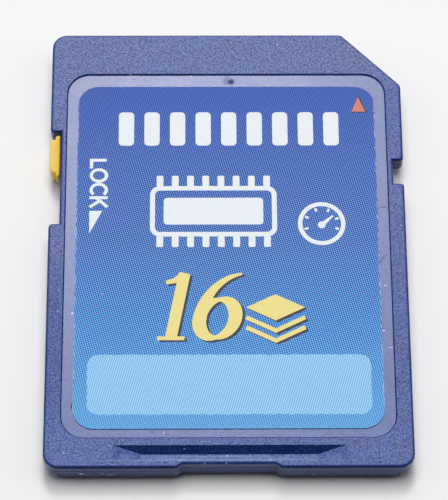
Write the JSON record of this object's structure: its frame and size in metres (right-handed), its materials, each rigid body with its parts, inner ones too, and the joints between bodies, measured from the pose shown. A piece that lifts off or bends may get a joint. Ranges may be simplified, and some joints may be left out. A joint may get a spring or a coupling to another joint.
{
  "type": "flash memory card",
  "caption": "Flat flash memory card with a cut corner, welded two-part case, printed label, recessed contacts on its back and a sliding write-protect lock.",
  "frame": {"origin": "middle of the back face, which lies on the surface", "axes": "+X to the cut-corner side seen from the label, +Y to the contact end, +Z out of the label"},
  "size_m": [0.024, 0.032, 0.0021],
  "materials": {
    "case_plastic": "fine spark-eroded navy plastic",
    "slider_plastic": "satin yellow plastic",
    "label_film": "printed blue film",
    "board": "solder mask",
    "gold_contact": "gold plate",
    "package": "moulded resin",
    "tinned_leads": "tinned",
    "capacitor_ceramic": "fired ceramic",
    "resistor_ceramic": "coated ceramic"
  },
  "bodies": {
    "card": {"front_case": "case_plastic", "back_case": "case_plastic", "front_label": "label_film", "circuit_board": "board", "flash_memory": "package", "flash_leads": "tinned_leads", "controller_chip": "package", "controller_terminals": "tinned_leads", "contact_pad_1": "gold_contact", "contact_pad_2": "gold_contact", "contact_pad_3": "gold_contact", "contact_pad_4": "gold_contact", "contact_pad_5": "gold_contact", "contact_pad_6": "gold_contact", "contact_pad_7": "gold_contact", "contact_pad_8": "gold_contact", "contact_pad_9": "gold_contact", "capacitor_1": "capacitor_ceramic", "capacitor_2": "capacitor_ceramic", "capacitor_3": "capacitor_ceramic", "capacitor_4": "capacitor_ceramic", "resistor_1": "resistor_ceramic", "resistor_2": "resistor_ceramic", "resistor_3": "resistor_ceramic", "resistor_4": "resistor_ceramic", "resistor_5": "resistor_ceramic", "resistor_6": "resistor_ceramic"},
    "lock": {"lock_slider": "slider_plastic"}
  },
  "joints": [
    {"name": "lock_slide", "type": "slide", "parent": "card", "child": "lock", "axis": [0, -1, 0], "range_m": [0, 0.00337]}
  ]
}
